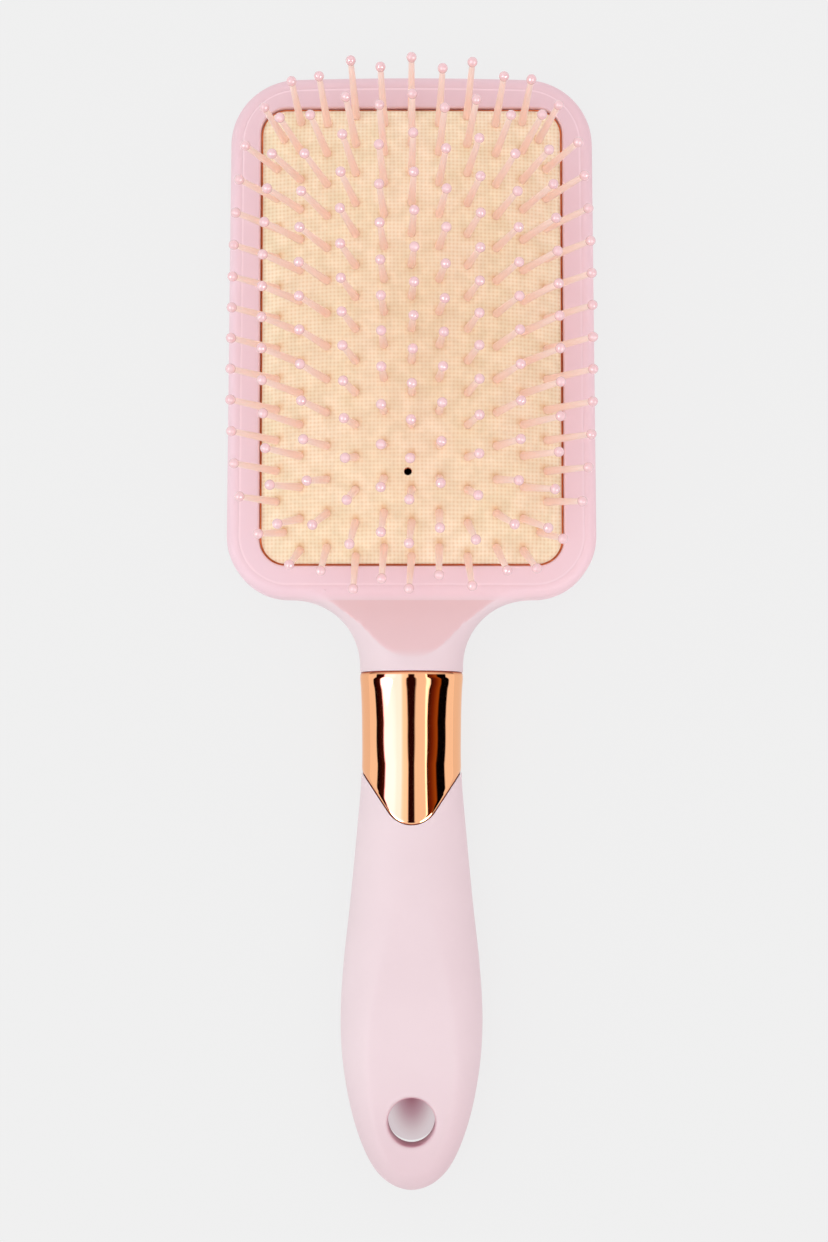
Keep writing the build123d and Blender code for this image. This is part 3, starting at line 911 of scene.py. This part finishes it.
def build_bezel():
    """The flat frame round the cushion: rounded outer bead, flat land and a rolled inner lip."""
    outer = pad_loop(rim_width + rim_gap)
    inner = pad_loop(half=opening_half, r=opening_r)
    low_z = bezel_low[2] + 3.4  # the land's underside, above the pegs
    rows = []
    mesh = Mesh()
    # a shallow groove at the parting line, and a pale painted highlight on the bezel's edge beside it
    groove, highlight_end = 0.03, 0.07
    profile = [(0.0, low_z), (0.0, front_z - groove)]
    for a in (0.5, 1.0, math.pi / 2):
        profile.append((0.02 * (1 - math.cos(a)), front_z - groove * (1 - math.sin(a))))
    profile += [(share, front_z) for share in (highlight_end, 0.12, 0.3, 0.6, 0.85)]
    lip = 0.5
    for a in np.radians((10, 25, 45, 65, 80, 90)):
        profile.append((0.9 + 0.1 * math.sin(a), front_z - lip * (1 - math.cos(a))))
    profile += [(1.0, low_z)]
    for share, z in profile:
        loop = outer * (1 - share) + inner * share
        rows.append(mesh.add(with_z(loop, z), float(share <= highlight_end)))
    mesh.bands(rows, joined=True)
    piece = mesh.make("front_bezel_frame", bezel_material, "paddle", "bezel_pink", 40)
    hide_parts("front_bezel")


build_shell()
build_bezel()


# --------------------------------------------------------- ferrule and handle
grip_side = [(neck_half, neck_end_y), (11.42, -88.0), *handle_side]
tail_mirror = [(-x, y) for x, y in handle_side[-2:-4:-1]]
per_span = 24
grip_curve = catmull(grip_side + tail_mirror, per_span)[: per_span * (len(grip_side) - 1) + 1]
side_curve = grip_curve[grip_curve[:, 1] < handle_side[0][1]]
waist_curve = catmull(ferrule_waist)


def grip_half(y):
    """Half-width of ferrule and handle at y."""
    return np.interp(y, grip_curve[::-1, 1], grip_curve[::-1, 0])


def sleeve_half(y):
    """Half-width of the ferrule at y."""
    return grip_half(y) + ferrule_proud - np.interp(neck_end_y - y, *waist_curve.T)


def v_edge(x):
    """The y of the ferrule's V edge at x: two straight sides and a rounded point."""
    slope = (v_corner_y - v_point_y) / neck_half
    half_angle = math.atan(1 / slope)
    centre_y = v_point_y + v_point_r / math.sin(half_angle)
    reach = v_point_r * math.cos(half_angle)
    x = np.abs(x)
    bowl = centre_y - np.sqrt(np.maximum(v_point_r**2 - x * x, 0))
    return np.where(x < reach, bowl, v_point_y + slope * x)


def build_ferrule():
    """Plated sleeve: rolled top lip, V tongues front and back, and its bore."""
    around, rows_down = 288, 70
    angles = np.linspace(0, 2 * math.pi, around, endpoint=False)

    def v_ends(grow):
        """The y of the V edge all round, on a surface that lies grow outside the sleeve's."""
        y = np.full(around, -105.0)
        for _ in range(30):
            y = 0.5 * y + 0.5 * v_edge((sleeve_half(y) + grow) * np.cos(angles))
        return y

    ends = v_ends(0.0)
    mesh = Mesh()
    rows = []
    wall, lip_depth, dark_lip_depth = 0.9, 1.75, 0.75
    # how far out of the surface, and how far in from the mouth or from the V edge
    lip = [(-wall, 0.5), (-wall, 0.12), (-0.75, 0.0), (-0.55, 0.0), (-0.42, 0.04), (-0.3, 0.15)]
    lip += [(-0.2, 0.34), (-0.12, 0.6), (-0.06, 0.9), (-0.025, 1.2), (-0.006, 1.5)]
    v_roll = [(-0.005, 0.75), (-0.02, 0.6), (-0.05, 0.46), (-0.1, 0.33), (-0.14, 0.27), (-0.18, 0.2)]
    v_roll += [(-0.25, 0.11), (-0.35, 0.04), (-0.5, 0.0), (-wall, 0.0), (-wall, 2.0)]
    shares = 1 - (1 - np.linspace(0, 1, rows_down)) ** 1.15

    # each row's shade paints a dark copper reflection on the rolled lip and along the V edge
    def row(grow, y, dark_reflection=0.0):
        half = sleeve_half(y)
        x = (half + grow) * np.cos(angles)
        z = grip_z + (half * flatness + grow) * np.sin(angles)
        rows.append(mesh.add(np.column_stack([x, y, z]), dark_reflection))

    for grow, down in lip:
        row(grow, np.full(around, neck_end_y - down), float(1 - smooth(down / dark_lip_depth)))
    start = neck_end_y - lip_depth
    tip_x = sleeve_half(ends) * np.cos(angles)
    steep = np.sqrt(1 + ((v_edge(tip_x + 0.01) - v_edge(tip_x - 0.01)) / 0.02) ** 2)
    finish = ends + 0.9 * steep
    for share in shares:
        row(0.0, start + (finish - start) * share)
    for grow, back in v_roll:
        row(grow, v_ends(grow) + back * steep, float(1 - smooth((back - 0.19) / 0.1)))
    mesh.bands(rows, joined=True)
    piece = mesh.make("ferrule_sleeve", rose_gold_material, "paddle", "rose_gold", 60)
    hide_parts("ferrule")


def handle_silhouette():
    """The handle seen from the front: V edge at its top, then round by the tail."""
    corner_x = 11.31
    x = np.linspace(corner_x, -corner_x, 60)
    top = np.column_stack([x, v_edge(x) - v_gap])
    left = side_curve * (-1, 1)
    left = left[left[:, 1] < top[-1, 1] - 0.3]
    right = side_curve[::-1]
    right = right[right[:, 1] < top[0, 1] - 0.3]
    return np.concatenate([top, left, right[1:]])


def handle_height(points, front):
    """Height of the handle's front or back face at each point."""
    x, y = points.T
    half = np.maximum(grip_half(y), 1e-3)
    bulge = half * flatness * np.sqrt(np.maximum(1 - (x / half) ** 2, 0))
    if front:
        facet = facet_z - facet_r + np.sqrt(facet_r**2 - (y - facet_y) ** 2)
        height = soft_min(grip_z + bulge, facet, 0.22)
    else:
        lift = relief_r - np.sqrt(relief_r**2 - np.minimum(y - relief_y, 0) ** 2)
        height = -soft_min(-(grip_z - bulge), -(relief_z + lift), 0.22)
    away = from_point(points, (0, hole_y))
    t = np.clip(1 - (away - hole_r) / hole_round, 0, 1)
    drop = hole_round * (1 - np.sqrt(1 - t * t))
    return height - drop if front else height + drop


def build_handle_shell(front):
    """One half of the handle, with its rounded hang hole."""
    outline = resample(handle_silhouette(), 0.7)
    hole = circles((0, hole_y), (hole_r,), hole_points)
    sides = closed_path(outline)
    loose = rings(outline, sides, (0.015, 0.06, 0.15, 0.3, 0.5, 0.8, 1.2, 1.7, 2.3))
    fine = grid((-16.5, -191), (16.5, -98), 0.75)
    fine = fine[inside(fine, outline)]
    fine = fine[distance(fine, sides) > 2.8]
    loose = np.concatenate([loose, fine])
    loose = loose[from_point(loose, (0, hole_y)) > hole_r + hole_round + 0.5]
    round_radii = hole_r + hole_round * np.array((0.03, 0.12, 0.25, 0.45, 0.7, 1.0, 1.3))
    loose = np.concatenate([loose, circles((0, hole_y), round_radii, hole_points)])
    points, triangles, (edge, rim) = triangulate([outline, hole], loose)
    part_z = grip_z + (0.02 if front else -0.02)
    height = handle_height(points, front)
    height = np.maximum(height, part_z) if front else np.minimum(height, part_z)
    mesh = Mesh()
    skin = mesh.add(with_z(points, height))
    flat = mesh.add(with_z(points, part_z))
    mesh.sheet(skin, triangles)
    mesh.sheet(flat, triangles[:, ::-1])
    mesh.band(skin[edge], flat[edge])
    mesh.band(skin[rim], flat[rim])
    name = "handle_front_shell" if front else "handle_back_shell"
    piece = mesh.make(f"{name}_skin", soft_pink_material, "paddle", "soft_pink", 50)
    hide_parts(name)


build_ferrule()
build_handle_shell(True)
build_handle_shell(False)


# ------------------------------------------------------- floor, light, camera
def build_floor():
    """A plain pale floor that gives most of its own light, so shadows stay faint.
    The shade seen through the hang hole is painted on it."""
    bpy.ops.mesh.primitive_plane_add(size=80, location=(0, 0, -0.0002))
    floor = bpy.context.object
    floor.name = "floor"
    m = Material("floor_white", Roughness=0.9, Specular_IOR_Level=0.0)
    # darkest under the hole's head side, in a streak that fades towards the tail
    offset = m.node("ShaderNodeVectorMath", operation="MULTIPLY_ADD")
    offset.inputs[1].default_value = (1.9, 1.0, 1.0)
    offset.inputs[2].default_value = (0, -(hole_y + hole_r) * MM, 0)
    m.link(m.place, offset.inputs[0])
    length = m.node("ShaderNodeVectorMath", operation="LENGTH")
    m.link(offset.outputs[0], length.inputs[0])
    depth = m.math("MULTIPLY", length.outputs["Value"], 1 / (2 * hole_r * MM))
    streak = [(0.1, srgb(128, 62, 80)), (0.5, srgb(166, 130, 140))]
    streak += [(0.85, srgb(197, 180, 184)), (1.0, srgb(203, 190, 194))]
    shade = m.ramp(depth, streak)
    from_hole = m.node("ShaderNodeVectorMath", operation="DISTANCE")
    from_hole.inputs[1].default_value = (0, hole_y * MM, 0)
    m.link(m.place, from_hole.inputs[0])
    outside = m.span(from_hole.outputs["Value"], hole_r + 0.3, hole_r + 0.6)
    glow = m.mix(outside, shade, m.constant((0.768, 0.768, 0.768, 1)))
    m.shader.inputs["Base Color"].default_value = (0.09, 0.09, 0.09, 1)
    m.link(glow, m.shader.inputs["Emission Color"])
    m.shader.inputs["Emission Strength"].default_value = 1.0
    floor.data.materials.append(m.material)


def build_world():
    """Even soft light for matt surfaces, and a studio of soft boxes and dark flags for mirrors."""
    world = bpy.data.worlds.new("studio")
    bpy.context.scene.world = world
    world.use_nodes = True
    world.node_tree.nodes.clear()
    w = Nodes(world.node_tree)

    direction = w.node("ShaderNodeTexCoord").outputs["Generated"]
    way = w.node("ShaderNodeSeparateXYZ")
    w.link(direction, way.inputs[0])
    x, y, z = way.outputs

    # bands of the mirror studio, by the angle from straight up in degrees, left negative
    dark, black = (0.02, 0.002, 0.001), (0.0015, 0.0005, 0.001)
    maroon, red, rust = (0.06, 0.008, 0.003), (0.17, 0.025, 0.004), (0.36, 0.1, 0.012)
    peach, cream, white = (1.0, 1.0, 1.0), (2.2, 1.8, 2.6), (2.6, 2.05, 3.2)
    studio = [
        (-180, peach), (-73.5, peach), (-72, black), (-64, dark), (-55, maroon), (-52.5, white),
        (-38, white), (-26, cream), (-16.5, cream), (-13, (1.25, 1.25, 1.25)), (-9, (1.2, 1.2, 1.2)),
        (-7.2, dark), (6, dark),
        (8, peach), (22, peach), (23.5, (2.3, 2.3, 2.3)), (29, (2.0, 2.0, 2.0)), (30.5, black), (33, maroon),
        (40, red), (49, rust), (51, black), (69, black), (71, peach),
    ]
    # where the sleeve faces the head side more, towards the V, the outer bands lie further in
    flare = w.math("MULTIPLY", w.math("ADD", y, 0.05), 9.0, clamp=True)
    turn = w.math("ARCTAN2", x, z)
    parts = [(0, 0), (5, 0.33), (9, 0.33), (14, 0), (20, 0), (26, 1)]
    parts = [(degrees / 180, [part] * 3) for degrees, part in parts]
    near = w.ramp(w.math("DIVIDE", w.math("ABSOLUTE", turn), math.pi), parts)
    shift = w.math("MULTIPLY", w.math("MULTIPLY", flare, near), math.radians(9.5))
    angle = w.math("MULTIPLY_ADD", w.math("SIGN", turn), shift, turn)
    share = w.math("MULTIPLY_ADD", angle, 0.5 / math.pi, 0.5)
    studio_power = 5.0  # the ramp holds 0..1, so the lights are divided by it and multiplied back
    lights = [(degrees / 360 + 0.5, [c / studio_power for c in light]) for degrees, light in studio]
    bands = w.ramp(share, lights)
    # beyond the bands, towards head and tail, the studio is plain and darkens down to its horizon
    beyond = w.math("MULTIPLY", w.math("SUBTRACT", w.math("ABSOLUTE", y), 0.26), 9.0, clamp=True)
    plain = w.ramp(z, [(0.0, (0.045, 0.03, 0.028)), (0.3, (0.13, 0.12, 0.12)), (0.75, (0.2, 0.2, 0.2))])
    mirror = w.mix(beyond, bands, plain)
    # two small lamps, seen as highlights on the drops
    for lamp in ((-0.62, -0.3, 0.72), (0.64, -0.42, 0.64)):
        facing = w.node("ShaderNodeVectorMath", operation="DOT_PRODUCT")
        facing.inputs[1].default_value = Vector(lamp).normalized()
        w.link(direction, facing.inputs[0])
        spot = w.math("MULTIPLY", w.math("SUBTRACT", facing.outputs["Value"], 0.95), 60.0, clamp=True)
        mirror = w.mix(spot, mirror, (2.6, 2.6, 2.6, 1))
    studio_light = w.node("ShaderNodeBackground")
    studio_light.inputs["Strength"].default_value = studio_power
    w.link(mirror, studio_light.inputs["Color"])
    # matt surfaces: neutral from the left, dimmer and pinker from the right
    side = w.math("MULTIPLY_ADD", x, 0.5, 0.5)
    even = w.node("ShaderNodeBackground")
    even.inputs["Strength"].default_value = 1.07
    w.link(w.ramp(side, [(0.0, (1.08, 1.16, 1.14)), (1.0, (0.92, 0.84, 0.86))]), even.inputs["Color"])
    path = w.node("ShaderNodeLightPath")
    choice = w.node("ShaderNodeMixShader")
    w.link(path.outputs["Is Glossy Ray"], choice.inputs[0])
    w.link(even.outputs[0], choice.inputs[1])
    w.link(studio_light.outputs[0], choice.inputs[2])
    w.link(choice.outputs[0], w.node("ShaderNodeOutputWorld").inputs[0])


def soft_box(name, place, aim, size, power):
    """A square area light that mirrors don't show."""
    data = bpy.data.lights.new(name, "AREA")
    data.shape = "SQUARE"
    data.size = size
    data.energy = power
    lamp = bpy.data.objects.new(name, data)
    lamp.location = place
    lamp.rotation_euler = (Vector(aim) - Vector(place)).to_track_quat("-Z", "Y").to_euler()
    lamp.visible_glossy = False
    bpy.context.scene.collection.objects.link(lamp)


def build_camera():
    """Straight above the brush, tipped a few degrees towards its handle."""
    tilt, away = math.radians(4.5), 0.6
    data = bpy.data.cameras.new("camera")
    data.sensor_fit = "VERTICAL"
    data.sensor_height = 36.0
    data.lens = 77.2
    camera = bpy.data.objects.new("camera", data)
    aim = Vector((0.00055, -0.0648, 0.012))
    camera.location = aim + Vector((0, -math.sin(tilt), math.cos(tilt))) * away
    camera.rotation_euler = (tilt, 0, 0)
    bpy.context.scene.collection.objects.link(camera)
    bpy.context.scene.camera = camera


build_floor()
build_world()
soft_box("key", (-0.3, -0.8, 1.6), (0, -0.06, 0), 0.9, 2.3)
build_camera()
bpy.context.scene.view_settings.view_transform = "Standard"
